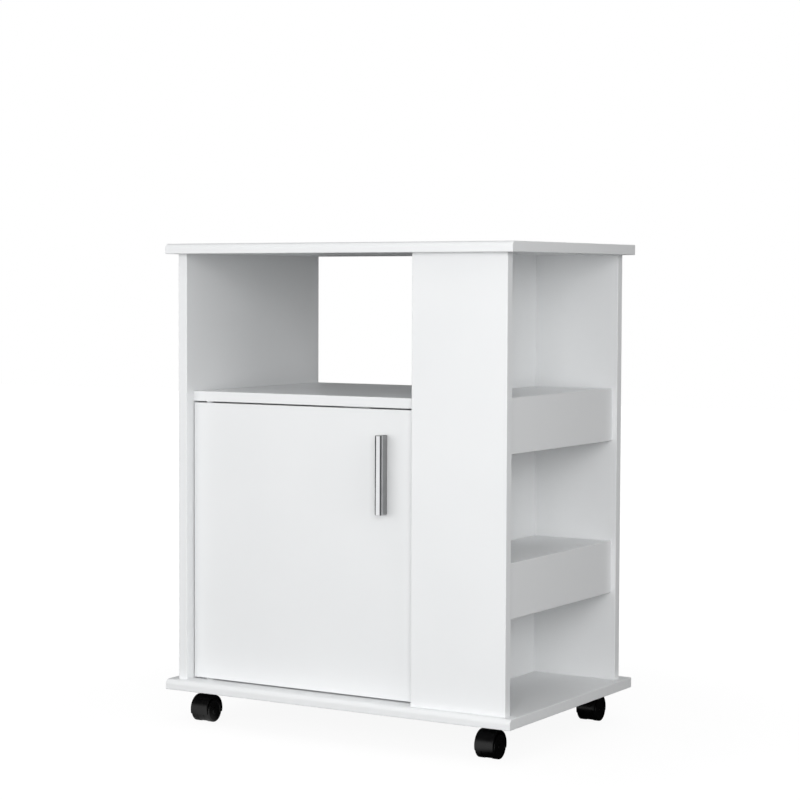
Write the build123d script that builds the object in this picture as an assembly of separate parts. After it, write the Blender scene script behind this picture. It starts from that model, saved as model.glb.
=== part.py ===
from build123d import *
import os

# Microwave cabinet on four castors: an open compartment over a door on the left, and on the
# right a column with two shelves that is open to the side.
# Millimetres. +Z up, +Y to the back, +X to the right seen from the front.
# The origin is on the floor, under the middle of the top panel.

# Boards
board = 15.0                  # melamine-faced particleboard, every panel but the back
arris = 1.0                   # radius of the edge banding's trimmed arrises
nose_radius = 7.0             # upper front edge of the top and bottom panels
small_bevel = 0.4             # on caps and pins
back_board_thickness = 3.0    # hardboard

# Carcass
top_width = 580.0
top_depth = 395.0
side_overhang = 14.5          # of the top and bottom panels past the uprights, left and right
front_overhang = 14.0
carcass_depth = 365.0
upright_height = 636.0        # between the bottom panel and the top panel

# Left part
main_shelf_height = 432.0     # its upper face over the bottom panel's
door_recess = 17.0            # door and main shelf behind the uprights' front edges
door_gap = 2.0                # over and under the door
door_side_gap = 1.5           # left and right of the door
rebate_width = 7.0            # seat of the back board in the left side panel
back_board_lap = 20.0         # over the column back panel

# Side column
column_width = 150.0
partition_setback = 2.5       # the partition's face behind the column front panel's edge
lower_shelf_height = 209.0    # upper faces over the bottom panel's
upper_shelf_height = 437.0
fascia_height = 78.0
fascia_setback = 5.0          # behind the column front panel's right edge

# Door handle, a moulded blade screwed on from the inside
handle_length = 113.0
handle_width = 9.0
handle_projection = 21.5
handle_bar_depth = 5.5
handle_web_width = 8.0
handle_corner = 1.0
handle_hole_spacing = 96.0
handle_from_edge = 51.5       # from the door's right edge
handle_from_top = 92.5        # its middle below the door's top
handle_screw_diameter = 4.0
handle_screw_grip = 9.0       # in the handle
handle_screw_head = (8.0, 2.4)

# Door pivots: a steel pin in each end of the door, turning in a nylon bush
pivot_inset = 25.0            # from the door's left edge
pivot_nose = (5.0, 9.0)       # pairs are a diameter and a length
pivot_body = (8.0, 24.0)
pivot_collar_diameter = 9.5
bush_body = (10.0, 10.0)
bush_flange = (13.0, 1.0)
collar_play = 0.1             # between the pin's collar and the bush
pivot_end_play = 1.0          # between the pin's end and the bush's blind end

# Magnetic catch under the main shelf, and its strike plate on the door
catch_size = (44.0, 14.0, 14.0)
catch_corner = 1.0
catch_from_edge = 110.0       # its middle from the door's right edge
catch_screw_spacing = 33.0
magnet_size = (22.0, 9.0, 8.0)
magnet_proud = 0.4
catch_air_gap = 0.3
strike_size = (32.0, 1.0, 12.0)
strike_corner = 1.0
strike_drop = 0.5             # below the door's top
catch_screw = (3.0, 10.0)     # diameter, and length in the board
catch_screw_head = (6.5, 2.0)
strike_screw = (2.6, 9.0)
strike_screw_head = 5.0

# Fittings that join the boards
fitting_play = 0.15           # between a fitting and its hole
cam_diameter = 15.0
cam_depth = 12.5
cam_distance = 24.0           # cam centre from the joint
cam_bolt_thread = (5.0, 11.0)
cam_bolt_shank = 5.8
cam_bolt_neck = (3.6, 4.0)
cam_bolt_head = (6.2, 3.2)
cam_bolt_hole = 7.0
cam_pocket = 7.4              # in the cam, round the bolt's head
cam_recess_depth = 1.5
cap_size = (17.5, 1.0)
dowel_diameter = 8.0
dowel_length = 30.0
dowel_in_face = 10.0
dowel_step = 32.0             # dowel beside its cam
base_screw_head = (9.6, 3.5)
base_screw_body = (7.0, 11.0)
base_screw_core = (5.0, 33.0)
base_screw_sunk = 0.5
nail_shank = (1.5, 14.0)      # diameter, and length in the board behind
nail_head = (3.2, 0.8)
through = 1.0                 # how far a drill runs on past the far face

# Castors: twin wheels in a hooded housing that swivels on a kingpin
castor_height = 49.0
castor_inset = 49.0           # kingpins from the bottom panel's edges
castor_trail = 12.5
castor_width = 32.0           # over both wheels
wheel_diameter = 34.0
wheel_width = 10.4
wheel_rounding = 1.6
wheel_dish = (26.0, 10.0, 0.7)  # outer and inner diameter, depth
wheel_side_gap = 0.3
axle = (5.0, 28.0)
axle_seat = 9.0               # depth of the axle hole in a wheel
kingpin_diameter = 7.0
kingpin_length = 21.0         # below the plate
kingpin_end_play = 1.0
kingpin_head = 12.0
running_play = 0.05
plate_size = 42.0
plate_thickness = 2.0
plate_corner = 5.0
plate_hole_spacing = 32.0
plate_hole = 4.4
plate_screw = (3.4, 12.0)     # diameter, and length in the board
plate_screw_head = (7.5, 2.4)
hood_diameter = 42.0
hood_width = 29.4
hood_wall = 1.8
hood_rounding = 0.8
hood_rise = 2.25              # its middle over the axle
hood_shift = 0.4              # its middle nearer to the kingpin than the axle
hood_edge = 13.0              # its lower edge over the floor
web_drop = 0.6                # web between the wheels, inside their treads
housing_top_gap = 0.3         # under the plate
neck_diameter = 9.6           # round the kingpin, above the hood
neck_flange = (16.0, 4.0)     # diameter and height
flange_bevel = 1.0

# Places worked out from the sizes above
board_left = -top_width / 2
board_right = top_width / 2
board_front = -top_depth / 2
board_back = top_depth / 2
left_x = board_left + side_overhang
right_x = board_right - side_overhang
left_inner = left_x + board
front_y = board_front + front_overhang
back_y = front_y + carcass_depth
inner_back_y = back_y - back_board_thickness
base_z = castor_height
floor_z = base_z + board
ceiling_z = floor_z + upright_height
column_left = right_x - column_width
partition_left = column_left + partition_setback
partition_right = partition_left + board
column_front_y = front_y + board
column_back_y = inner_back_y - board
main_shelf_z = floor_z + main_shelf_height
door_front_y = front_y + door_recess
door_back_y = door_front_y + board
door_left = left_inner + door_side_gap
door_right = column_left - door_side_gap
door_low = floor_z + door_gap
door_high = main_shelf_z - board - door_gap
fascia_out = right_x - fascia_setback
fascia_in = fascia_out - board
column_shelf_tops = {"lower": floor_z + lower_shelf_height, "upper": floor_z + upper_shelf_height}

X, Y, Z = Vector(1, 0, 0), Vector(0, 1, 0), Vector(0, 0, 1)
ON_BASE = (Align.CENTER, Align.CENTER, Align.MIN)

nodes = {}                    # node name: a solid, or a list of like solids
bores = {}                    # node name: the holes drilled in it


def slab(low, high):
    """A rectangular board between two corners, its edges cut square."""
    size = [b - a for a, b in zip(low, high)]
    middle = [(a + b) / 2 for a, b in zip(low, high)]
    return Pos(*middle) * Box(*size)


def banded(slab, axis):
    """A board whose arrises along one axis are rounded, where its edges carry banding."""
    return fillet(slab.edges().filter_by(axis), arris)


def rod(start, direction, diameter, length):
    """A plain cylinder from a point along a direction."""
    return Plane(origin=start, z_dir=direction) * Cylinder(diameter / 2, length, align=ON_BASE)


def turned(start, direction, *steps):
    """A turned pin: cylinders of (diameter, length), one after the other along a direction."""
    pin = Part()
    for diameter, length in steps:
        pin += rod(start, direction, diameter, length)
        start = start + direction * length
    return pin


def cross_recess(start, direction, across, depth):
    """The cutter for a cross-shaped driver recess that goes in along a direction."""
    blade = Box(across, across / 5, 2 * depth)
    return Plane(origin=start, z_dir=direction) * (blade + Rot(0, 0, 90) * blade)


def screw(start, direction, head, *shank):
    """A screw from its head's outer face: the head with its recess, then the shank's steps."""
    across, height = head
    recess = cross_recess(start, direction, across / 2, height / 2)
    return turned(start, direction, head, *shank) - recess


def drill(name, start, direction, diameter, depth):
    """Note a round hole in a node, from a point on its surface, along a direction."""
    lead = 0.5
    cutter = rod(start - direction * lead, direction, diameter, depth + lead)
    bores.setdefault(name, []).append(cutter)


def add(name, solid):
    """Add one more solid to the node of like pieces."""
    nodes.setdefault(name, []).append(solid)


def dowel_joint(holder, mate, joint, inward):
    """A wooden dowel across a joint: inward points from the joint into the holder's edge."""
    in_edge = dowel_length - dowel_in_face
    drill(mate, joint, -inward, dowel_diameter, dowel_in_face + fitting_play)
    drill(holder, joint, inward, dowel_diameter, in_edge + fitting_play)
    pin = rod(joint - inward * dowel_in_face, inward, dowel_diameter - fitting_play, dowel_length)
    add("wooden_dowels", chamfer(pin.edges().filter_by(GeomType.CIRCLE), dowel_diameter / 10))


def cam_joint(holder, mate, joint, inward, cam_face, row, capped=False):
    """A cam fitting and the dowel one step beside it, along row.

    The bolt screws into the mate and runs into the holder's edge, where a cam draws it
    tight. The cam is sunk in the holder's face whose outward normal is cam_face.
    """
    play = fitting_play
    thread_diameter, grip = cam_bolt_thread
    drill(mate, joint, -inward, thread_diameter + play, grip + play)
    drill(holder, joint, inward, cam_bolt_hole, cam_distance)
    shank = (cam_bolt_shank, cam_distance - cam_diameter / 2 - play)
    bolt = turned(joint - inward * grip, inward,
                  cam_bolt_thread, shank, cam_bolt_neck, cam_bolt_head)
    add("cam_bolts", bolt)

    centre = joint + inward * cam_distance
    mouth = centre + cam_face * (board / 2)
    drill(holder, mouth, -cam_face, cam_diameter, cam_depth)
    cam = rod(mouth, -cam_face, cam_diameter - 2 * play, cam_depth - play)
    cam -= rod(centre, -inward, cam_pocket, cam_diameter)
    cam -= cross_recess(mouth, -cam_face, cam_diameter / 2, cam_recess_depth)
    add("cam_locks", cam)
    if capped:
        cap = rod(mouth, cam_face, *cap_size)
        rim = cap.faces().sort_by(Axis(mouth, cam_face))[-1].edges()
        add("cam_caps", chamfer(rim, small_bevel))
    dowel_joint(holder, mate, joint + row * dowel_step, inward)


# The boards
def nosed_board(low_z):
    """The top or bottom panel: rounded over at its upper front edge, banded all round."""
    panel = Pos(0, 0, low_z + board / 2) * Box(top_width, top_depth, board)
    along = panel.edges().filter_by(Axis.X)
    panel = fillet(along.sort_by(lambda edge: edge.center().Z - edge.center().Y)[-1], nose_radius)
    along = panel.edges().filter_by(Axis.X)
    lower = along.group_by(Axis.Z)[0]
    upper_back = along.group_by(Axis.Y)[-1].sort_by(Axis.Z)[-1]
    ends = panel.faces().sort_by(Axis.X)
    return fillet(ends[0].edges() + ends[-1].edges() + lower + [upper_back], arris)


nodes["top_panel"] = nosed_board(ceiling_z)
nodes["bottom_panel"] = nosed_board(base_z)
nodes["left_side_panel"] = banded(
    slab((left_x, front_y, floor_z), (left_inner, back_y, ceiling_z)), Axis.Z)
nodes["partition_panel"] = slab((partition_left, column_front_y, floor_z),
                                (partition_right, column_back_y, ceiling_z))
nodes["column_front_panel"] = banded(
    slab((column_left, front_y, floor_z), (right_x, column_front_y, ceiling_z)), Axis.Z)
nodes["column_back_panel"] = banded(
    slab((partition_left, column_back_y, floor_z),
         (partition_left + column_width, inner_back_y, ceiling_z)), Axis.Z)
nodes["main_shelf"] = banded(
    slab((left_inner, door_front_y, main_shelf_z - board),
         (partition_left, inner_back_y, main_shelf_z)), Axis.X)
for level, top in column_shelf_tops.items():
    nodes[f"{level}_column_shelf"] = slab((partition_right, column_front_y, top - board),
                                          (fascia_in, column_back_y, top))
    nodes[f"{level}_fascia"] = banded(
        slab((fascia_in, column_front_y, top - fascia_height),
             (fascia_out, column_back_y, top)), Axis.Y)

# Back board of the door compartment, in a stopped rebate of the left side panel
nodes["left_side_panel"] -= slab((left_inner - rebate_width, inner_back_y, floor_z - board),
                                 (left_inner + board, back_y + board, main_shelf_z))
nodes["back_board"] = slab((left_inner - rebate_width + fitting_play, inner_back_y, floor_z),
                           (partition_left + back_board_lap, back_y, main_shelf_z - fitting_play))


def nail(target, x, z):
    """A nail through the back board into the board behind it."""
    head_diameter, head_height = nail_head
    diameter, grip = nail_shank
    start = Vector(x, back_y + head_height, z)
    add("back_board_nails", turned(start, -Y, nail_head, (diameter, back_board_thickness + grip)))
    hole = diameter + fitting_play
    drill("back_board", Vector(x, back_y, z), -Y, hole, back_board_thickness + through)
    drill(target, Vector(x, inner_back_y, z), -Y, hole, grip + fitting_play)


nail_count = 4
nail_margin = 40.0
rise = (main_shelf_height - board - 2 * nail_margin) / (nail_count - 1)
run = (partition_left - left_inner - 2 * nail_margin) / (nail_count - 1)
for step in range(nail_count):
    nail_z = floor_z + nail_margin + step * rise
    nail("left_side_panel", left_inner - rebate_width / 2, nail_z)
    nail("column_back_panel", partition_left + back_board_lap / 2, nail_z)
    nail("main_shelf", left_inner + nail_margin + step * run, main_shelf_z - board / 2)

# Cam fittings and dowels, by joint. Distances are along each joint.
front_margin = 60.0           # first cam from a board's front edge
back_margin = 92.0            # last cam from its back edge, with room for the dowel
for cam_y in (front_y + front_margin, back_y - back_margin):
    joint = Vector(left_x + board / 2, cam_y, ceiling_z)
    cam_joint("left_side_panel", "top_panel", joint, -Z, -X, Y, capped=True)

column_cam_offsets = (30.0, 88.0)
for offset in column_cam_offsets:
    cam_joint("column_front_panel", "top_panel",
              Vector(column_left + offset, front_y + board / 2, ceiling_z), -Z, Y, X)
    cam_joint("column_back_panel", "top_panel",
              Vector(partition_left + offset, column_back_y + board / 2, ceiling_z), -Z, Y, X)

partition_x = partition_left + board / 2
partition_cam_heights = (80.0, 320.0, 560.0)
for height in partition_cam_heights:
    cam_joint("partition_panel", "column_front_panel",
              Vector(partition_x, column_front_y, floor_z + height), Y, -X, Z)
    cam_joint("partition_panel", "column_back_panel",
              Vector(partition_x, column_back_y, floor_z + height), -Y, -X, Z)

shelf_mid_z = main_shelf_z - board / 2
for cam_y in (door_front_y + front_margin, inner_back_y - back_margin):
    left_joint = Vector(left_inner, cam_y, shelf_mid_z)
    cam_joint("main_shelf", "left_side_panel", left_joint, X, -Z, Y)
    right_joint = Vector(partition_left, cam_y, shelf_mid_z)
    cam_joint("main_shelf", "partition_panel", right_joint, -X, -Z, Y)

column_depth = column_back_y - column_front_y
bay_x = (partition_right + fascia_in - dowel_step) / 2
shelf_cam_shares = (0.33, 0.6)   # of the column's inner depth, from the front
end_dowel_drops = (28.0, 62.0)   # in the fascias' ends, below their upper edges
for level, top in column_shelf_tops.items():
    shelf = f"{level}_column_shelf"
    fascia = f"{level}_fascia"
    mid_z = top - board / 2
    for share in shelf_cam_shares:
        cam_y = column_front_y + column_depth * share
        cam_joint(shelf, "partition_panel", Vector(partition_right, cam_y, mid_z), X, -Z, Y)
        cam_joint(shelf, fascia, Vector(fascia_in, cam_y, mid_z), -X, -Z, Y)
    cam_joint(shelf, "column_front_panel", Vector(bay_x, column_front_y, mid_z), Y, -Z, X)
    cam_joint(shelf, "column_back_panel", Vector(bay_x, column_back_y, mid_z), -Y, -Z, X)
    for drop in end_dowel_drops:
        fascia_x = fascia_in + board / 2
        dowel_joint(fascia, "column_front_panel", Vector(fascia_x, column_front_y, top - drop), Y)
        dowel_joint(fascia, "column_back_panel", Vector(fascia_x, column_back_y, top - drop), -Y)

partition_dowel_margin = 80.0
for dowel_y in (column_front_y + partition_dowel_margin, column_back_y - partition_dowel_margin):
    dowel_joint("partition_panel", "top_panel", Vector(partition_x, dowel_y, ceiling_z), -Z)


def base_screw(upright, x, y):
    """A screw up through the bottom panel into an upright's lower edge, its head sunk."""
    wide = 2 * fitting_play
    head_diameter, head_height = base_screw_head
    core_diameter, core_length = base_screw_core
    under = Vector(x, y, base_z)
    add("base_screws", screw(under + Z * base_screw_sunk, Z,
                             base_screw_head, base_screw_body, base_screw_core))
    drill("bottom_panel", under, Z, head_diameter + wide, base_screw_sunk + head_height)
    drill("bottom_panel", under, Z, base_screw_body[0] + wide, board + through)
    drill(upright, Vector(x, y, floor_z), Z, core_diameter + wide, core_length + fitting_play)


# The uprights on the bottom panel: screws from below and dowels
side_screw_margin = 95.0
side_dowel_margin = 35.0
for start, way in ((front_y, 1), (back_y, -1)):
    base_screw("left_side_panel", left_x + board / 2, start + way * side_screw_margin)
    dowel_joint("left_side_panel", "bottom_panel",
                Vector(left_x + board / 2, start + way * side_dowel_margin, floor_z), Z)
for start, way in ((column_front_y, 1), (column_back_y, -1)):
    base_screw("partition_panel", partition_x, start + way * side_screw_margin)
    dowel_joint("partition_panel", "bottom_panel",
                Vector(partition_x, start + way * side_dowel_margin, floor_z), Z)
column_screw_offsets = (22.0, 75.0)
column_dowel_offset = 125.0
for panel, edge_x, mid_y in (("column_front_panel", column_left, front_y + board / 2),
                             ("column_back_panel", partition_left, column_back_y + board / 2)):
    for offset in column_screw_offsets:
        base_screw(panel, edge_x + offset, mid_y)
    dowel_joint(panel, "bottom_panel", Vector(edge_x + column_dowel_offset, mid_y, floor_z), Z)

# The door and its handle
door = slab((door_left, door_front_y, door_low), (door_right, door_back_y, door_high))
nodes["door"] = fillet(door.edges(), arris)
handle_x = door_right - handle_from_edge
handle_z = door_high - handle_from_top


def handle_blade():
    """The handle: a bar along the front of a thinner web that stands on the door."""
    bar = RectangleRounded(handle_width, handle_bar_depth, handle_corner)
    web_depth = handle_projection - handle_bar_depth / 2
    web = Rectangle(handle_web_width, web_depth)
    section = Pos(0, handle_bar_depth / 2 - handle_projection) * bar + Pos(0, -web_depth / 2) * web
    blade = extrude(section, handle_length / 2, both=True)
    ends = blade.faces().sort_by(Axis.Z)
    blade = chamfer(ends[0].edges() + ends[-1].edges(), handle_corner / 2)
    return Pos(handle_x, door_front_y, handle_z) * blade


nodes["door_handle"] = handle_blade()
for way in (-1, 1):
    hole = Vector(handle_x, door_back_y, handle_z + way * handle_hole_spacing / 2)
    shank = (handle_screw_diameter - fitting_play, board + handle_screw_grip)
    add("handle_screws", screw(hole + Y * handle_screw_head[1], -Y, handle_screw_head, shank))
    drill("door", hole, -Y, handle_screw_diameter + 2 * fitting_play, board + through)
    drill("door_handle", Vector(hole.X, door_front_y, hole.Z), -Y,
          handle_screw_diameter + fitting_play, handle_screw_grip + fitting_play)

# The door's pivots
pivot_x = door_left + pivot_inset
pivot_y = door_front_y + board / 2


def door_pivot(level, door_edge_z, seat, seat_z, out):
    """The pin in one end of the door and the bush that it turns in; out leaves the door."""
    edge = Vector(pivot_x, pivot_y, door_edge_z)
    face = Vector(pivot_x, pivot_y, seat_z)
    collar = (pivot_collar_diameter, door_gap - bush_flange[1] - collar_play)
    pin = turned(edge - out * pivot_body[1], out, pivot_body, collar, pivot_nose)
    tip = pin.faces().sort_by(Axis(edge, out))[-1].edges()
    nodes[f"{level}_pivot_pin"] = chamfer(tip, small_bevel)
    drill("door", edge, -out, pivot_body[0] + fitting_play, pivot_body[1] + fitting_play)

    mouth = face - out * bush_flange[1]
    bush = turned(mouth, out, bush_flange, bush_body)
    bush -= rod(mouth, out, pivot_nose[0] + 2 * running_play, pivot_nose[1] + pivot_end_play)
    nodes[f"{level}_pivot_bush"] = bush
    drill(seat, face, out, bush_body[0] + fitting_play, bush_body[1] + fitting_play)


door_pivot("lower", door_low, "bottom_panel", floor_z, -Z)
door_pivot("upper", door_high, "main_shelf", main_shelf_z - board, Z)

# The magnetic catch
catch_x = door_right - catch_from_edge
_, catch_deep, catch_tall = catch_size
_, strike_thickness, strike_tall = strike_size
catch_top = main_shelf_z - board
catch_front = door_back_y + strike_thickness + catch_air_gap + magnet_proud
catch_mid = Vector(catch_x, catch_front + catch_deep / 2, catch_top - catch_tall / 2)
shell = Pos(*catch_mid) * Box(*catch_size)
shell = fillet(shell.edges().filter_by(Axis.Z), catch_corner)
magnet_mid = Vector(catch_x, catch_front - magnet_proud + magnet_size[1] / 2, catch_mid.Z)
pocket = [side + 2 * running_play for side in magnet_size]
nodes["catch_housing"] = shell - Pos(*magnet_mid) * Box(*pocket)
nodes["catch_magnet"] = Pos(*magnet_mid) * Box(*magnet_size)
for way in (-1, 1):
    under = Vector(catch_x + way * catch_screw_spacing / 2, catch_mid.Y, catch_top - catch_tall)
    diameter, grip = catch_screw
    add("catch_screws", screw(under - Z * catch_screw_head[1], Z, catch_screw_head,
                              (diameter, catch_tall + grip)))
    drill("catch_housing", under, Z, diameter + 2 * fitting_play, catch_tall + through)
    seat = Vector(under.X, under.Y, catch_top)
    drill("main_shelf", seat, Z, diameter + fitting_play, grip + fitting_play)

strike_z = door_high - strike_drop - strike_tall / 2
strike_foot = Vector(catch_x, door_back_y, strike_z)
strike_face = strike_foot + Y * strike_thickness
strike = Pos(*(strike_foot + strike_face) / 2) * Box(*strike_size)
nodes["catch_strike"] = chamfer(strike.edges().filter_by(Axis.Y), strike_corner)
nodes["strike_screw"] = screw(strike_face, -Y, (strike_screw_head, strike_thickness), strike_screw)
drill("catch_strike", strike_face, -Y, strike_screw_head + fitting_play, strike_thickness + through)
drill("door", strike_foot, -Y, strike_screw[0] + fitting_play, strike_screw[1] + fitting_play)


# The castors, made with the kingpin over the origin and the wheels towards -Y
wheel_radius = wheel_diameter / 2
wheel_centre = Vector(0, -castor_trail, wheel_radius)
hood_centre = wheel_centre + Vector(0, hood_shift, hood_rise)
plate_z = castor_height - plate_thickness
web_width = castor_width - 2 * wheel_width - 2 * wheel_side_gap


def across(centre, diameter, width):
    """A cylinder along X, its middle at a point."""
    return Plane(origin=centre, z_dir=X) * Cylinder(diameter / 2, width)


def castor_housing():
    """The swivelling body: a web between the wheels, a hood over them and a neck on top."""
    hood = across(hood_centre, hood_diameter, hood_width)
    hood = fillet(hood.edges().filter_by(GeomType.CIRCLE), hood_rounding)
    inside = across(hood_centre, hood_diameter - 2 * hood_wall, 2 * hood_width)
    hood -= inside - across(hood_centre, hood_diameter, web_width)
    hood -= Box(2 * hood_diameter, 2 * hood_diameter, 2 * hood_edge)
    web = across(wheel_centre, wheel_diameter - 2 * web_drop, web_width)
    top = Vector(0, 0, plate_z - housing_top_gap)
    neck = rod(top, -Z, neck_diameter, top.Z - hood_centre.Z)
    flange = rod(top, -Z, *neck_flange)
    flange = chamfer(flange.edges().filter_by(GeomType.CIRCLE).sort_by(Axis.Z)[0], flange_bevel)
    housing = hood + web + neck + flange
    housing -= rod(Vector(0, 0, plate_z), -Z, kingpin_diameter + 2 * running_play,
                   kingpin_length + kingpin_end_play)
    return housing - across(wheel_centre, axle[0] + 2 * running_play, 2 * hood_width)


def castor_wheel(way):
    """One wheel: rounded tread edges, a dished outer face and a blind hole for the axle."""
    start = wheel_centre + X * way * (castor_width / 2 - wheel_width)
    out = X * way
    wheel = rod(start, out, wheel_diameter, wheel_width)
    wheel = fillet(wheel.edges().filter_by(GeomType.CIRCLE), wheel_rounding)
    outer_diameter, inner_diameter, depth = wheel_dish
    face = start + out * wheel_width
    wheel -= rod(face, -out, outer_diameter, depth) - rod(face, -out, inner_diameter, depth)
    return wheel - rod(start, out, axle[0] + 2 * running_play, axle_seat)


def castor_plate():
    """The steel plate under the bottom panel, with its screw holes and the kingpin's seat."""
    plate = extrude(RectangleRounded(plate_size, plate_size, plate_corner), plate_thickness)
    plate -= plate_pattern * Cylinder(plate_hole / 2, 3 * plate_thickness)
    plate -= Cylinder(kingpin_head / 2 + running_play, 3 * plate_thickness)
    return Pos(0, 0, plate_z) * plate


plate_pattern = GridLocations(plate_hole_spacing, plate_hole_spacing, 2, 2)
kingpin = turned(Vector(0, 0, castor_height), -Z, (kingpin_head, plate_thickness),
                 (kingpin_diameter, kingpin_length))
axle_rod = rod(wheel_centre - X * (axle[1] / 2), X, *axle)
screw_diameter, screw_grip = plate_screw
castor_x = board_right - castor_inset
castor_y = board_back - castor_inset

# Front castors trail forwards and rear ones backwards; facing is 1 for the front ones
for end, facing in (("front", 1), ("rear", -1)):
    for side, x in (("left", -castor_x), ("right", castor_x)):
        spot = Vector(x, -facing * castor_y, 0)
        place = Pos(*spot) * Rot(0, 0, 90 - 90 * facing)
        castor = f"{end}_{side}_castor"
        nodes[f"{castor}_housing"] = place * castor_housing()
        nodes[f"{castor}_axle"] = place * axle_rod
        nodes[f"{castor}_left_wheel"] = place * castor_wheel(-facing)
        nodes[f"{castor}_right_wheel"] = place * castor_wheel(facing)
        add("castor_plates", place * castor_plate())
        add("castor_kingpins", place * kingpin)
        for hole in plate_pattern:
            seat = spot + hole.position + Z * base_z
            head = seat - Z * (plate_thickness + plate_screw_head[1])
            add("castor_screws", screw(head, Z, plate_screw_head,
                                       (screw_diameter, plate_thickness + screw_grip)))
            drill("bottom_panel", seat, Z, screw_diameter + fitting_play, screw_grip + fitting_play)

# The holes are cut, and each node is written to its own file
for name, cutters in bores.items():
    nodes[name] = nodes[name] - cutters

os.makedirs("parts", exist_ok=True)
for name, solids in nodes.items():
    shape = Compound(children=list(solids)) if isinstance(solids, list) else solids
    export_step(shape, f"parts/{name}.step")
print(len(nodes), "nodes")
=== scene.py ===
import math

import bpy
import numpy as np
from mathutils import Matrix, Vector


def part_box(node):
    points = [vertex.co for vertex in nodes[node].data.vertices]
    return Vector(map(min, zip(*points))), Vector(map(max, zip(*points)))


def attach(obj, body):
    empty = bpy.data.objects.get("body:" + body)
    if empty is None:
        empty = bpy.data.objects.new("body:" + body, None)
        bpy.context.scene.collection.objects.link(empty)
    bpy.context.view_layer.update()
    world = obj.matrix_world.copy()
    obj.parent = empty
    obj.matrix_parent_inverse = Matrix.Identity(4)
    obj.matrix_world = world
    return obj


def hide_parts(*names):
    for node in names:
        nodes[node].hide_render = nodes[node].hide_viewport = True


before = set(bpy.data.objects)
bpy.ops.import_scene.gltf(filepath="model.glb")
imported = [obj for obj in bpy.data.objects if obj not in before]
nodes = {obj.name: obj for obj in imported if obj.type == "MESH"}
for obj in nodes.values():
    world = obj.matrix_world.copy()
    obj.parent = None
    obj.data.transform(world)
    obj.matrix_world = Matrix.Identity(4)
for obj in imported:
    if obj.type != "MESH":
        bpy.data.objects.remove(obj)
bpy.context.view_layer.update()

# The boards: 15 mm particleboard with white melamine on both faces and white banding 1 mm
# thick glued round the edges that show. Cam fittings, dowels and screws hold them together.
# The banding's arrises are trimmed round, and drilled holes lay the chips of the core bare.
boards = ("top_panel", "bottom_panel", "left_side_panel", "partition_panel",
          "column_front_panel", "column_back_panel", "main_shelf", "upper_column_shelf",
          "lower_column_shelf", "upper_fascia", "lower_fascia", "door")
rounded_over = ("top_panel", "bottom_panel")
melamine_white = (0.800, 0.810, 0.816, 1.0)
melamine_shade = (0.775, 0.786, 0.794, 1.0)
seam_grey = (0.56, 0.56, 0.55, 1.0)
chip_light = (0.52, 0.40, 0.26, 1.0)
chip_dark = (0.26, 0.17, 0.10, 1.0)
chip_range = (0.35, 0.65)
banding = 0.001
arris_width = 0.0025     # trimming leaves it a little smoother
seam_width = 0.00012
seam_share = 0.5
skin = 0.0004            # melamine and the rounding of the arrises
rounded_skin = 0.0022    # the same where the upper front edge is rounded over
melamine_roughness = (0.36, 0.44)
arris_polish = 0.06
core_roughness = 0.9
pearl_relief = 0.00002
noise_range = (0.3, 0.7)      # most values of a noise lie in it
even = (1, 1, 1)


def wire(tree, kind, inputs=(), **settings):
    """Add a shader node with its settings, and give inputs a value or another node's output."""
    node = tree.nodes.new(kind)
    for name, value in settings.items():
        setattr(node, name, value)
    for socket, value in dict(inputs).items():
        if isinstance(value, bpy.types.NodeSocket):
            tree.links.new(value, node.inputs[socket])
        else:
            node.inputs[socket].default_value = value
    return node


def calc(tree, operation, *values):
    """The result of a Math node on numbers or other nodes' outputs."""
    return wire(tree, "ShaderNodeMath", enumerate(values), operation=operation).outputs[0]


def calc_vector(tree, operation, *values):
    """The vector result of a Vector Math node on vectors or other nodes' outputs."""
    made = wire(tree, "ShaderNodeVectorMath", enumerate(values), operation=operation)
    return made.outputs["Vector"]


def ease(tree, value, low, high, start=0.0, end=1.0):
    """A value taken smoothly from start to end while it goes from low to high."""
    return wire(tree, "ShaderNodeMapRange",
                {"Value": value, "From Min": low, "From Max": high, "To Min": start, "To Max": end},
                interpolation_type="SMOOTHSTEP").outputs["Result"]


def blend_colour(tree, share, first, second):
    """The colour that goes from the first to the second as share goes from 0 to 1."""
    return wire(tree, "ShaderNodeMix", {"Factor": share, "A": first, "B": second},
                data_type="RGBA").outputs["Result"]


def new_group(name, inputs, outputs):
    """An empty node group with named sockets, as its tree, its inputs and its outputs."""
    kinds = {"value": "NodeSocketFloat", "vector": "NodeSocketVector"}
    tree = bpy.data.node_groups.new(name, "ShaderNodeTree")
    for way, sockets in (("INPUT", inputs), ("OUTPUT", outputs)):
        for socket, kind in sockets.items():
            tree.interface.new_socket(name=socket, in_out=way, socket_type=kinds[kind])
    return tree, tree.nodes.new("NodeGroupInput").outputs, tree.nodes.new("NodeGroupOutput").inputs


def use_group(tree, group, inputs):
    """The outputs of a node group placed in a material with its own values."""
    placed = tree.nodes.new("ShaderNodeGroup")
    placed.node_tree = group
    for socket, value in inputs.items():
        placed.inputs[socket].default_value = value
    return placed.outputs


def new_finish(name, **sockets):
    """A material with one Principled shader, as the material, its tree and the shader."""
    material = bpy.data.materials.new(name)
    material.use_nodes = True
    tree = material.node_tree
    shader = tree.nodes["Principled BSDF"]
    for socket, value in sockets.items():
        shader.inputs[socket.replace("_", " ")].default_value = value
    return material, tree, shader


def join(tree, source, shader, socket):
    """Feed a shader's socket."""
    tree.links.new(source, shader.inputs[socket])


def emboss(tree, shader, height, depth):
    """Bump on a shader: height from 0 to 1 stands for a relief of that depth in metres."""
    bump = wire(tree, "ShaderNodeBump", {"Height": height, "Distance": depth, "Strength": 1.0})
    tree.links.new(bump.outputs["Normal"], shader.inputs["Normal"])


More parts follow.
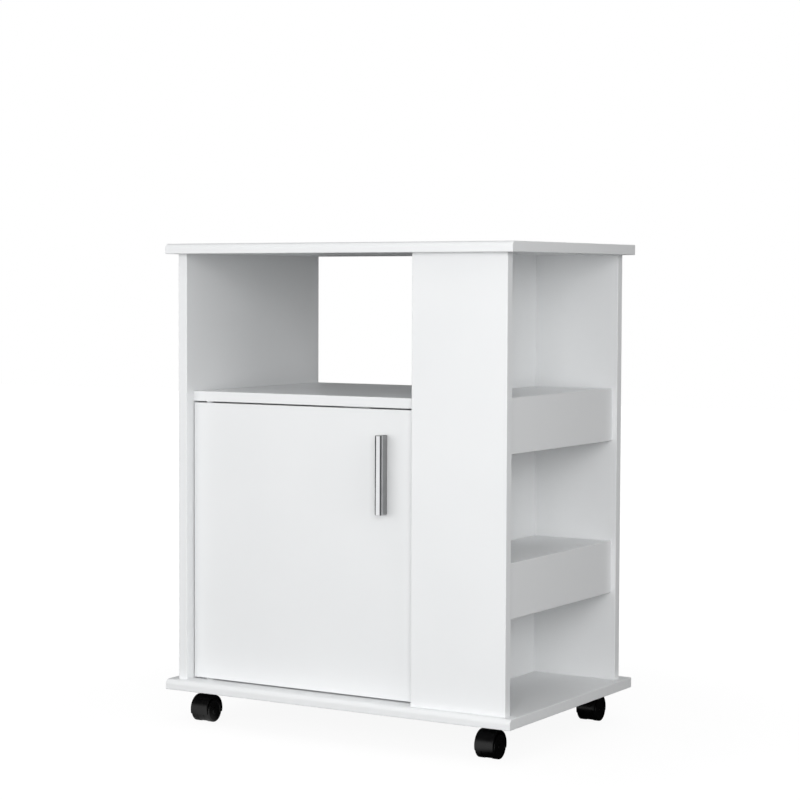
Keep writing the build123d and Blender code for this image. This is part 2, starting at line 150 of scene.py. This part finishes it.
def coat(material, *names):
    """Give CAD nodes a material in all their slots."""
    for name in names:
        for slot in nodes[name].material_slots:
            slot.material = material


# Slow unevenness and fine grain of a finish, both from 0 to 1, in steps per metre
uneven, given, gives = new_group(
    "uneven_finish", {"Blotches": "value", "Grains": "value", "Stretch": "vector"},
    {"Blotch": "value", "Grain": "value"})
place = wire(uneven, "ShaderNodeTexCoord").outputs["Object"]
stretched = calc_vector(uneven, "MULTIPLY", place, given["Stretch"])
for socket, scale, detail in (("Blotch", "Blotches", 3.0), ("Grain", "Grains", 2.0)):
    noise = wire(uneven, "ShaderNodeTexNoise",
                 {"Vector": stretched, "Scale": given[scale], "Detail": detail})
    uneven.links.new(noise.outputs["Fac"], gives[socket])

# Where a point lies on a board. Its depth under each pair of faces is the half size less the
# distance from the centre. The least of the three is the face it is on, the middle one is the
# distance to the nearest arris, and a point that is deep under all three is in a hole.
board_places, given, gives = new_group(
    "board_places", {"Centre": "vector", "Half Size": "vector", "Thin": "vector", "Skin": "value"},
    {"Arris": "value", "Seam": "value", "Core": "value"})
place = wire(board_places, "ShaderNodeTexCoord").outputs["Object"]
offset = calc_vector(board_places, "SUBTRACT", place, given["Centre"])
depths = calc_vector(board_places, "SUBTRACT", given["Half Size"],
                     calc_vector(board_places, "ABSOLUTE", offset))
depth = wire(board_places, "ShaderNodeSeparateXYZ", {"Vector": depths}).outputs
least = calc(board_places, "MINIMUM", depth[0], calc(board_places, "MINIMUM", depth[1], depth[2]))
most = calc(board_places, "MAXIMUM", depth[0], calc(board_places, "MAXIMUM", depth[1], depth[2]))
total = calc(board_places, "ADD", depth[0], calc(board_places, "ADD", depth[1], depth[2]))
to_arris = calc(board_places, "SUBTRACT", calc(board_places, "SUBTRACT", total, least), most)
board_places.links.new(ease(board_places, to_arris, 0.0, arris_width, 1.0, 0.0), gives["Arris"])
off_line = calc(board_places, "ABSOLUTE", calc(board_places, "SUBTRACT", to_arris, banding))
line = ease(board_places, off_line, 0.0, seam_width, 1.0, 0.0)
under = wire(board_places, "ShaderNodeVectorMath", {0: depths, 1: given["Thin"]},
             operation="DOT_PRODUCT").outputs["Value"]
on_face = ease(board_places, under, 0.0, seam_width, 1.0, 0.0)
board_places.links.new(calc(board_places, "MULTIPLY", line, on_face), gives["Seam"])
bared = calc(board_places, "SUBTRACT", least, given["Skin"])
board_places.links.new(ease(board_places, bared, 0.0, seam_width), gives["Core"])


def melamine(name):
    """White melamine for one board: pearl grain, faint unevenness, banding seams, bare core."""
    low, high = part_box(name)
    half = (high - low) / 2
    thin = [1.0 if side == min(half) else 0.0 for side in half]
    material, tree, shader = new_finish(f"white_melamine_{name}", IOR=1.5)
    finish = use_group(tree, uneven, {"Blotches": 9.0, "Grains": 1300.0, "Stretch": even})
    spot = use_group(tree, board_places, {
        "Centre": (low + high) / 2, "Half Size": half, "Thin": thin,
        "Skin": rounded_skin if name in rounded_over else skin})
    face = blend_colour(tree, finish["Blotch"], melamine_white, melamine_shade)
    seamed = blend_colour(tree, calc(tree, "MULTIPLY", spot["Seam"], seam_share), face, seam_grey)
    chips = use_group(tree, uneven, {"Blotches": 700.0, "Grains": 2600.0, "Stretch": even})
    core = blend_colour(tree, ease(tree, chips["Blotch"], *chip_range), chip_dark, chip_light)
    join(tree, blend_colour(tree, spot["Core"], seamed, core), shader, "Base Color")
    satin = ease(tree, finish["Blotch"], *noise_range, *melamine_roughness)
    trimmed = calc(tree, "SUBTRACT", satin, calc(tree, "MULTIPLY", spot["Arris"], arris_polish))
    dull = calc(tree, "MAXIMUM", trimmed, calc(tree, "MULTIPLY", spot["Core"], core_roughness))
    join(tree, dull, shader, "Roughness")
    emboss(tree, shader, finish["Grain"], pearl_relief)
    return material


for name in boards:
    coat(melamine(name), name)

# The back board of the door compartment: 3 mm hardboard, lacquered white, with the mark of
# the press screen on its rear face and its brown edge showing. It sits in a rebate of the
# left side, and nails hold it.
hardboard_white = (0.78, 0.785, 0.785, 1.0)
hardboard_rear = (0.70, 0.70, 0.69, 1.0)
hardboard_brown = (0.16, 0.09, 0.05, 1.0)
lacquer = (0.0002, 0.0006)    # depths at which it starts and stops to thin out at the edge
lacquer_roughness = (0.48, 0.60)
screen_pitch = 0.0011
screen_share = 0.5
screen_relief = 0.00006

material, tree, shader = new_finish("white_hardboard", IOR=1.5)
low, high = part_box("back_board")
place = wire(tree, "ShaderNodeSeparateXYZ",
             {"Vector": wire(tree, "ShaderNodeTexCoord").outputs["Object"]}).outputs
rear = ease(tree, place["Y"], high.y - lacquer[1], high.y - lacquer[0])
front = ease(tree, place["Y"], low.y + lacquer[0], low.y + lacquer[1], 1.0, 0.0)
finish = use_group(tree, uneven, {"Blotches": 14.0, "Grains": 900.0, "Stretch": even})
edge = blend_colour(tree, finish["Grain"], hardboard_brown, chip_dark)
lacquered = blend_colour(tree, front, edge, hardboard_white)
join(tree, blend_colour(tree, rear, lacquered, hardboard_rear), shader, "Base Color")
join(tree, ease(tree, finish["Blotch"], *noise_range, *lacquer_roughness), shader, "Roughness")
waves = [calc(tree, "SINE", calc(tree, "MULTIPLY", place[axis], 2 * math.pi / screen_pitch))
         for axis in ("X", "Z")]
screen = calc(tree, "MULTIPLY", calc(tree, "MULTIPLY", waves[0], waves[1]), rear)
relief = calc(tree, "ADD", calc(tree, "MULTIPLY", screen, screen_share), finish["Grain"])
emboss(tree, shader, relief, screen_relief)
coat(material, "back_board")

# The fittings in the boards: cams of cast zinc, turned bolts, screws, nails and the door's
# pivot pins of zinc-plated steel, and grooved beech dowels. The cast faces are grainy, and
# the plating is slightly cloudy. A dull film on the zinc scatters some of the light.
zinc_bright = (0.60, 0.62, 0.65, 1.0)
zinc_dull = (0.42, 0.44, 0.46, 1.0)
cast_bright = (0.44, 0.45, 0.46, 1.0)
cast_dull = (0.28, 0.28, 0.29, 1.0)
zinc_film = 0.45         # the metallic share that the film leaves


def metal(name, bright, dull, roughness, blotches, grains, relief, stretch=even, share=1.0):
    """A metal whose colour and roughness drift between two values, with a fine grain."""
    material, tree, shader = new_finish(name, Metallic=share)
    finish = use_group(tree, uneven,
                       {"Blotches": blotches, "Grains": grains, "Stretch": stretch})
    join(tree, blend_colour(tree, finish["Blotch"], bright, dull), shader, "Base Color")
    join(tree, ease(tree, finish["Blotch"], *noise_range, *roughness), shader, "Roughness")
    emboss(tree, shader, finish["Grain"], relief)
    return material


zinc_plate = metal("zinc_plated_steel", zinc_bright, zinc_dull, roughness=(0.28, 0.42),
                   blotches=180.0, grains=3000.0, relief=0.000006, share=zinc_film)
coat(zinc_plate, "cam_bolts", "base_screws", "back_board_nails", "upper_pivot_pin",
     "lower_pivot_pin", "handle_screws", "catch_screws", "catch_strike", "strike_screw")
cast_zinc = metal("cast_zinc", cast_bright, cast_dull, roughness=(0.45, 0.60),
                  blotches=260.0, grains=4200.0, relief=0.00002, share=zinc_film)
coat(cast_zinc, "cam_locks")

beech_light = (0.60, 0.42, 0.25, 1.0)
beech_dark = (0.44, 0.28, 0.15, 1.0)
beech_roughness = (0.55, 0.75)
beech_relief = 0.00004
material, tree, shader = new_finish("beech", IOR=1.45)
grain = use_group(tree, uneven, {"Blotches": 400.0, "Grains": 2400.0, "Stretch": (1, 1, 0.08)})
join(tree, blend_colour(tree, grain["Blotch"], beech_light, beech_dark), shader, "Base Color")
join(tree, ease(tree, grain["Grain"], *noise_range, *beech_roughness), shader, "Roughness")
emboss(tree, shader, grain["Grain"], beech_relief)
coat(material, "wooden_dowels")

# The white plastic of the cam caps, the pivot bushes and the catch's housing: moulded nylon
# with a fine spark-eroded texture. The catch holds a block of dark sintered ferrite.
nylon_white = (0.78, 0.785, 0.775, 1.0)
nylon_shade = (0.72, 0.73, 0.71, 1.0)
ferrite_dark = (0.045, 0.045, 0.048, 1.0)
ferrite_light = (0.085, 0.085, 0.088, 1.0)


def moulded(name, colours, roughness, grains, relief, **sockets):
    """A plastic or sintered finish: two close colours, uneven roughness and a fine texture."""
    material, tree, shader = new_finish(name, **sockets)
    finish = use_group(tree, uneven, {"Blotches": 90.0, "Grains": grains, "Stretch": even})
    join(tree, blend_colour(tree, finish["Blotch"], *colours), shader, "Base Color")
    join(tree, ease(tree, finish["Blotch"], *noise_range, *roughness), shader, "Roughness")
    emboss(tree, shader, finish["Grain"], relief)
    return material


nylon = moulded("white_nylon", (nylon_white, nylon_shade), roughness=(0.42, 0.55),
                grains=2500.0, relief=0.00002, IOR=1.53)
coat(nylon, "cam_caps", "upper_pivot_bush", "lower_pivot_bush", "catch_housing")
ferrite = moulded("ferrite", (ferrite_dark, ferrite_light), roughness=(0.5, 0.7),
                  grains=3500.0, relief=0.00003, IOR=2.0)
coat(ferrite, "catch_magnet")

# The door's handle: a moulded blade with a bar along its front and a satin web that stands on
# the door. Two screws from inside hold it. The bar's crowned front is a chrome-plated strip,
# its flanks carry a painted dark reflection, and the web a painted highlight just behind them.
web_half = 0.004
bar_depth = 0.0055
crown = 0.00125
nose_rounding = 0.0009
rear_rounding = 0.0006
painted_highlight_band = 0.0032         # painted highlight: the light band along the web behind the bar's rear
web_rounding = 0.0003
handle_end_rounding = 0.0007
handle_step = 0.0005     # between points of the section
painted_dark_border = 0.0007    # painted dark reflection on each side of the chrome strip
chrome_light = (0.82, 0.83, 0.84, 1.0)
chrome_dark = (0.74, 0.75, 0.77, 1.0)
# Painted dark reflection: the flanks' colours stand in for the dark surroundings they would mirror
flank_painted_dark_reflection = (0.11, 0.112, 0.115, 1.0)
flank_painted_darker_reflection = (0.09, 0.092, 0.095, 1.0)
web_grey = (0.36, 0.362, 0.365, 1.0)
web_shade = (0.30, 0.302, 0.306, 1.0)
# Painted highlight on the web just behind the bar
lip_painted_highlight = (0.64, 0.642, 0.646, 1.0)
lip_painted_highlight_dim = (0.58, 0.582, 0.586, 1.0)
satin_roughness = (0.34, 0.42)
arc_points = 9           # along each rounded corner
end_points = 7           # along the rounding of the handle's ends
crease = math.radians(40)


def rounded_path(corners, radii, step=0.001):
    """Points along straight runs whose corners are arcs.

    At a corner the runs leave with unit vectors u and v. The arc's centre lies on their
    bisector, radius / sin(half the angle between them) away, and the arc meets each run
    radius / tan(that half angle) from the corner. Its points turn evenly from one meeting
    point to the other, and the runs are divided into steps.
    """
    corners = np.array(corners, float)
    turn = np.linspace(0, 1, arc_points)[:, None]
    ends = [corners[:1]]
    for before, corner, after, radius in zip(corners, corners[1:], corners[2:], radii):
        u = (before - corner) / np.linalg.norm(before - corner)
        v = (after - corner) / np.linalg.norm(after - corner)
        half = math.acos(np.clip(u @ v, -1, 1)) / 2
        centre = corner + (u + v) / np.linalg.norm(u + v) * radius / math.sin(half)
        first = corner + u * radius / math.tan(half) - centre
        last = corner + v * radius / math.tan(half) - centre
        swing = math.pi - 2 * half
        arc = (np.sin((1 - turn) * swing) * first + np.sin(turn * swing) * last) / math.sin(swing)
        ends.append(centre + arc)
    ends.append(corners[-1:])
    points = [ends[0]]
    for start, end in zip(ends, ends[1:]):
        count = max(int(np.linalg.norm(end[0] - start[-1]) / step), 1)
        share = np.linspace(0, 1, count + 1)[1:, None]
        points.append(start[-1] + (end[0] - start[-1]) * share)
        points.append(end[1:])
    return np.concatenate(points)


def skin_over(name, grid):
    """A closed mesh over a grid of points: columns go round the piece, rows run along it.

    Each face joins two neighbours in a row with the two beside them in the next row, the
    last column meets the first, and one face closes each end row. If the volume from the
    faces' corners comes out negative, the faces are turned round, so that they face out.
    """
    rows, columns, _ = grid.shape
    index = np.arange(rows * columns).reshape(rows, columns)
    beside = np.roll(index, -1, axis=1)
    faces = np.stack([index[:-1], beside[:-1], beside[1:], index[1:]], axis=-1).reshape(-1, 4)
    points = grid.reshape(-1, 3)
    a, b, c, d = (points[faces[:, k]] for k in range(4))
    volume = (np.cross(b - a, c - a) * a + np.cross(c - a, d - a) * a).sum()
    order = -1 if volume < 0 else 1
    sides = faces[:, ::order].tolist()
    ends = [index[0][::-order].tolist(), index[-1][::order].tolist()]
    mesh = bpy.data.meshes.new(name)
    mesh.from_pydata(points, [], sides + ends)
    mesh.shade_smooth()
    mesh.set_sharp_from_angle(angle=crease)
    piece = bpy.data.objects.new(name, mesh)
    bpy.context.scene.collection.objects.link(piece)
    return piece


low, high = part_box("door_handle")
middle_x = (low.x + high.x) / 2
bar_half = (high.x - low.x) / 2
projection = high.y - low.y
neck = bar_depth - projection
flat = crown - projection
outline = rounded_path(
    [(0, 0), (web_half, 0), (web_half, neck), (bar_half, neck), (bar_half, flat),
     (-bar_half, flat), (-bar_half, neck), (-web_half, neck), (-web_half, 0), (0, 0)],
    [web_rounding, web_rounding, rear_rounding, nose_rounding,
     nose_rounding, rear_rounding, web_rounding, web_rounding], handle_step)[:-1]
bulge = 1 - (outline[:, 0] / bar_half) ** 2
outline[:, 1] -= crown * bulge * (outline[:, 1] < flat + nose_rounding)

# The section shrinks towards each end by a quarter circle: along its outward normals, by
# rounding * (1 - sin t) while the height rises by rounding * (1 - cos t)
edge = np.roll(outline, -1, axis=0) - np.roll(outline, 1, axis=0)
outward = np.stack([edge[:, 1], -edge[:, 0]], axis=1) / np.linalg.norm(edge, axis=1)[:, None]
signed_area = (outline[:, 0] * np.roll(outline[:, 1], -1)).sum() \
    - (outline[:, 1] * np.roll(outline[:, 0], -1)).sum()
outward *= math.copysign(1, signed_area)
quarter = np.linspace(0, math.pi / 2, end_points)
inset = handle_end_rounding * (1 - np.sin(quarter))
rise = handle_end_rounding * (1 - np.cos(quarter))
insets = np.concatenate([inset, inset[::-1]])
heights = np.concatenate([low.z + rise, high.z - rise[::-1]])
section = outline[None] - outward[None] * insets[:, None, None]
grid = np.empty((len(heights), len(outline), 3))
grid[:, :, 0] = middle_x + section[:, :, 0]
grid[:, :, 1] = np.minimum(high.y + section[:, :, 1], high.y)
grid[:, :, 2] = heights[:, None]
handle = skin_over("handle_blade", grid)

# The faces' finishes: the chrome strip on the bar's front, a painted dark reflection on the flanks
# round it, and on the web a painted highlight line behind the bar
finishes = [
    metal("handle_chrome", chrome_light, chrome_dark, roughness=(0.06, 0.10),
          blotches=60.0, grains=1500.0, relief=0.000002),
    # the flanks' painted dark reflection
    metal("handle_painted_dark_reflection_flank", flank_painted_dark_reflection, flank_painted_darker_reflection, roughness=(0.20, 0.28),
          blotches=60.0, grains=1500.0, relief=0.000002),
    metal("handle_satin_web", web_grey, web_shade, roughness=satin_roughness,
          blotches=60.0, grains=2600.0, relief=0.000004, stretch=(1, 1, 0.1)),
    # the web's painted highlight
    metal("handle_web_painted_highlight", lip_painted_highlight, lip_painted_highlight_dim, roughness=satin_roughness,
          blotches=60.0, grains=1500.0, relief=0.000002)]
for finish in finishes:
    handle.data.materials.append(finish)
strip, painted_dark_flank, web, painted_highlight_lip = range(len(finishes))
count = len(handle.data.polygons)
middles, facings = np.empty(count * 3), np.empty(count * 3)
handle.data.polygons.foreach_get("center", middles)
handle.data.polygons.foreach_get("normal", facings)
off_middle = np.abs(middles[0::3] - middle_x)
faces_front = facings[1::3] < -0.5
# faces off the chrome strip and off the web get the painted dark reflection
on_strip = faces_front & (off_middle < bar_half - painted_dark_border)
on_web = off_middle < web_half + web_rounding
# web faces next to the bar get the painted highlight
on_painted_highlight = middles[1::3] < high.y + neck + painted_highlight_band
web_or_painted_highlight = np.where(on_painted_highlight, painted_highlight_lip, web)
which = np.where(on_strip, strip, np.where(on_web, web_or_painted_highlight, painted_dark_flank))
handle.data.polygons.foreach_set("material_index", which.astype(np.int32))
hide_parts("door_handle")
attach(handle, "door")

# The castors: a steel plate screwed under the bottom panel, a kingpin riveted in it, and a
# black moulded housing that swivels on the pin. Its web carries the axle between the two
# wheels, and its hood covers them from above.
coat(zinc_plate, "castor_plates", "castor_kingpins", "castor_screws")
black = (0.0009, 0.0009, 0.001, 1.0)
black_scuffed = (0.0025, 0.0025, 0.0027, 1.0)
black_gloss = 0.5
housing_black = moulded("black_plastic_housing", (black, black_scuffed), roughness=(0.26, 0.34),
                        grains=1800.0, relief=0.00001, IOR=1.45, Specular_IOR_Level=black_gloss)
castors = [f"{end}_{side}_castor" for end in ("front", "rear") for side in ("left", "right")]
for castor in castors:
    coat(housing_black, f"{castor}_housing")
    coat(zinc_plate, f"{castor}_axle")

# The castor wheels: black nylon turned about the axle, with a flat tread between rounded
# edges, a shallow dished ring in the outer face, a raised hub and a blind hole for the axle.
# Rolling has scuffed fine rings into the tread.
wheel_bore = 0.00255
bore_depth = 0.009
dish_outer = 0.013
dish_inner = 0.005
dish_depth = 0.0007
tread_rounding = 0.0016
dish_rounding = 0.0003
pole = 0.0006
around = 96
wheel_roughness = (0.24, 0.32)
tread_from = (0.97, 0.995)    # of the wheel's radius
scuffed_from = (0.45, 0.7)
scuff_roughness = 0.08
tread_relief = 0.000005

wheel_black, tree, shader = new_finish("black_nylon_wheel", IOR=1.45,
                                       Specular_IOR_Level=black_gloss)
finish = use_group(tree, uneven, {"Blotches": 60.0, "Grains": 1500.0, "Stretch": even})
rings = use_group(tree, uneven, {"Blotches": 1200.0, "Grains": 2500.0, "Stretch": (1, 0.02, 0.02)})
reach = wire(tree, "ShaderNodeAttribute", attribute_name="reach").outputs["Fac"]
on_tread = ease(tree, reach, *tread_from)
worn = calc(tree, "MULTIPLY", on_tread, ease(tree, rings["Blotch"], *scuffed_from))
join(tree, blend_colour(tree, worn, black, black_scuffed), shader, "Base Color")
smooth = ease(tree, finish["Blotch"], *noise_range, *wheel_roughness)
scuffing = calc(tree, "MULTIPLY", worn, scuff_roughness)
join(tree, calc(tree, "ADD", smooth, scuffing), shader, "Roughness")
emboss(tree, shader, calc(tree, "MULTIPLY", rings["Grain"], on_tread), tread_relief)


def turned_wheel(name, low, high, way):
    """A wheel turned about an axle along X, in the space between two corners.

    The profile gives, for each of its points, how far out along the axle it lies from the
    wheel's inner face and how far from the axle it is. Point (t, angle) lies at x = inner
    face + way * out(t), y = centre + reach(t) * cos(angle), z = centre + reach(t) * sin(angle).
    """
    centre = (low + high) / 2
    radius = (high.z - low.z) / 2
    width = high.x - low.x
    profile = rounded_path(
        [(bore_depth, pole), (bore_depth, wheel_bore), (0, wheel_bore), (0, radius),
         (width, radius), (width, dish_outer), (width - dish_depth, dish_outer),
         (width - dish_depth, dish_inner), (width, dish_inner), (width, pole)],
        [dish_rounding, dish_rounding, tread_rounding, tread_rounding,
         dish_rounding, dish_rounding, dish_rounding, dish_rounding])
    angle = np.linspace(0, 2 * math.pi, around, endpoint=False)
    grid = np.empty((len(profile), around, 3))
    grid[:, :, 0] = centre.x - way * width / 2 + way * profile[:, :1]
    grid[:, :, 1] = centre.y + profile[:, 1:] * np.cos(angle)
    grid[:, :, 2] = centre.z + profile[:, 1:] * np.sin(angle)
    wheel = skin_over(name, grid)
    reaches = wheel.data.attributes.new("reach", "FLOAT", "POINT")
    reaches.data.foreach_set("value", np.repeat(profile[:, 1] / radius, around))
    return wheel


for castor in castors:
    for side, way in (("left", -1), ("right", 1)):
        node = f"{castor}_{side}_wheel"
        wheel = turned_wheel(f"{node}_turned", *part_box(node), way)
        wheel.data.materials.append(wheel_black)
        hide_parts(node)
        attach(wheel, node)

# The floor: a seamless sheet that glows pale, keeps the cabinet's soft shadow and turns white
# further out. In reflections the studio is white low down in front and dark elsewhere, so that
# metal and black plastic have both to show, and the floor shows only its glow there.
floor_reach = 8.0
floor_albedo = 0.1
shadow_reach = (0.45, 1.3)
floor_glow = (0.92, 1.03)
bright_side = Vector((-0.05, -1.0, 0.0))
bright_from = (0.55, 0.70)
bright_height = (0.36, 0.46)
dark_side = 0.012        # strength in reflections where the studio is dark


def studio_glow(tree, direction, strength, in_light):
    """The strength that a ray sees: full for the camera, in_light where it lights a surface.

    In reflections the direction's share along the bright side gives where the studio is
    white, and its rise over the horizon gives where the white ends.
    """
    facing = wire(tree, "ShaderNodeVectorMath", {0: direction, 1: bright_side},
                  operation="DOT_PRODUCT").outputs["Value"]
    height = wire(tree, "ShaderNodeSeparateXYZ", {"Vector": direction}).outputs["Z"]
    white = calc(tree, "MULTIPLY", ease(tree, facing, *bright_from),
                 ease(tree, height, *bright_height, 1.0, 0.0))
    reflected = calc(tree, "MAXIMUM", white, dark_side)
    path = wire(tree, "ShaderNodeLightPath").outputs
    plain = calc(tree, "MAXIMUM", path["Is Camera Ray"], path["Is Transmission Ray"])
    shown = calc(tree, "MAXIMUM", plain, calc(tree, "MULTIPLY", path["Is Glossy Ray"], reflected))
    unseen = calc(tree, "SUBTRACT", 1.0, calc(tree, "MAXIMUM", plain, path["Is Glossy Ray"]))
    return calc(tree, "ADD", calc(tree, "MULTIPLY", shown, strength),
                calc(tree, "MULTIPLY", unseen, in_light))


mesh = bpy.data.meshes.new("floor")
mesh.from_pydata([(-floor_reach, -floor_reach, 0), (floor_reach, -floor_reach, 0),
                  (floor_reach, floor_reach, 0), (-floor_reach, floor_reach, 0)],
                 [], [(0, 1, 2, 3)])
floor = bpy.data.objects.new("floor", mesh)
bpy.context.scene.collection.objects.link(floor)
material, tree, shader = new_finish("floor_sheet", Roughness=0.9, Specular_IOR_Level=0.0,
                                    Emission_Color=(1, 1, 1, 1))
in_reflection = wire(tree, "ShaderNodeLightPath").outputs["Is Glossy Ray"]
unreflected = calc(tree, "SUBTRACT", 1.0, in_reflection)
join(tree, calc(tree, "MULTIPLY", unreflected, floor_albedo), shader, "Base Color")
place = wire(tree, "ShaderNodeTexCoord").outputs["Object"]
reach = wire(tree, "ShaderNodeVectorMath", {0: place}, operation="LENGTH").outputs["Value"]
towards = calc_vector(tree, "NORMALIZE", place)
glow = studio_glow(tree, towards, ease(tree, reach, *shadow_reach, *floor_glow), 0.0)
tree.links.new(glow, shader.inputs["Emission Strength"])
mesh.materials.append(material)

# The world: white for the camera, white low down in front in reflections, and an even light
# on the object
ambient = 0.42
world = bpy.data.worlds.new("studio")
bpy.context.scene.world = world
world.use_nodes = True
tree = world.node_tree
direction = wire(tree, "ShaderNodeTexCoord").outputs["Generated"]
background = tree.nodes["Background"]
background.inputs["Color"].default_value = (1, 1, 1, 1)
tree.links.new(studio_glow(tree, direction, 1.0, ambient), background.inputs["Strength"])

# Soft boxes: each has its place, its width and height in metres and its power in watts, and
# faces the cabinet's middle. The studio's own white stands for them in reflections.
middle = Vector((0, 0, 0.36))
soft_boxes = {
    "key": ((-1.0, -2.65, 0.7), (2.4, 1.3), 27.5),
    "front_right_box": ((1.5, -2.55, 0.9), (1.4, 1.6), 42.0),
    "right_box": ((2.8, -0.75, 0.9), (1.4, 1.6), 16.5),
    "top_box": ((0.2, -0.6, 2.8), (1.8, 1.8), 8.0),
    "left_box": ((-2.8, 0.2, 0.9), (1.4, 1.6), 12.0),
    "rear_box": ((-1.1, 2.6, 1.0), (1.4, 1.6), 12.0),
}
for name, (place, (width, height), power) in soft_boxes.items():
    lamp = bpy.data.lights.new(name, "AREA")
    lamp.shape = "RECTANGLE"
    lamp.size = width
    lamp.size_y = height
    lamp.energy = power
    box = bpy.data.objects.new(name, lamp)
    box.location = place
    box.rotation_euler = (middle - Vector(place)).to_track_quat("-Z", "Y").to_euler()
    box.visible_camera = False
    box.visible_glossy = False
    bpy.context.scene.collection.objects.link(box)

# The camera: from the front right, a little below the top panel. Its place, turns, lens and
# small shift are solved from the photo's perspective.
camera_place = (1.67975, -2.86464, 0.65896)
camera_turn = math.radians(32.459)
camera_pitch = math.radians(2.932)
camera_roll = math.radians(0.113)
camera_lens = 100.05
camera_shift = (0.1, -0.0053)
forward = Vector((-math.sin(camera_turn) * math.cos(camera_pitch),
                  math.cos(camera_turn) * math.cos(camera_pitch), -math.sin(camera_pitch)))
level = Vector((math.cos(camera_turn), math.sin(camera_turn), 0))
upward = level.cross(forward)
right = math.cos(camera_roll) * level + math.sin(camera_roll) * upward
up = math.cos(camera_roll) * upward - math.sin(camera_roll) * level
lens = bpy.data.cameras.new("camera")
lens.lens = camera_lens
lens.sensor_width = 36.0
lens.shift_x, lens.shift_y = camera_shift
camera = bpy.data.objects.new("camera", lens)
turned = Matrix((right, up, -forward)).transposed().to_4x4()
camera.matrix_world = Matrix.Translation(camera_place) @ turned
bpy.context.scene.collection.objects.link(camera)
bpy.context.scene.camera = camera
bpy.context.scene.view_settings.view_transform = "Standard"
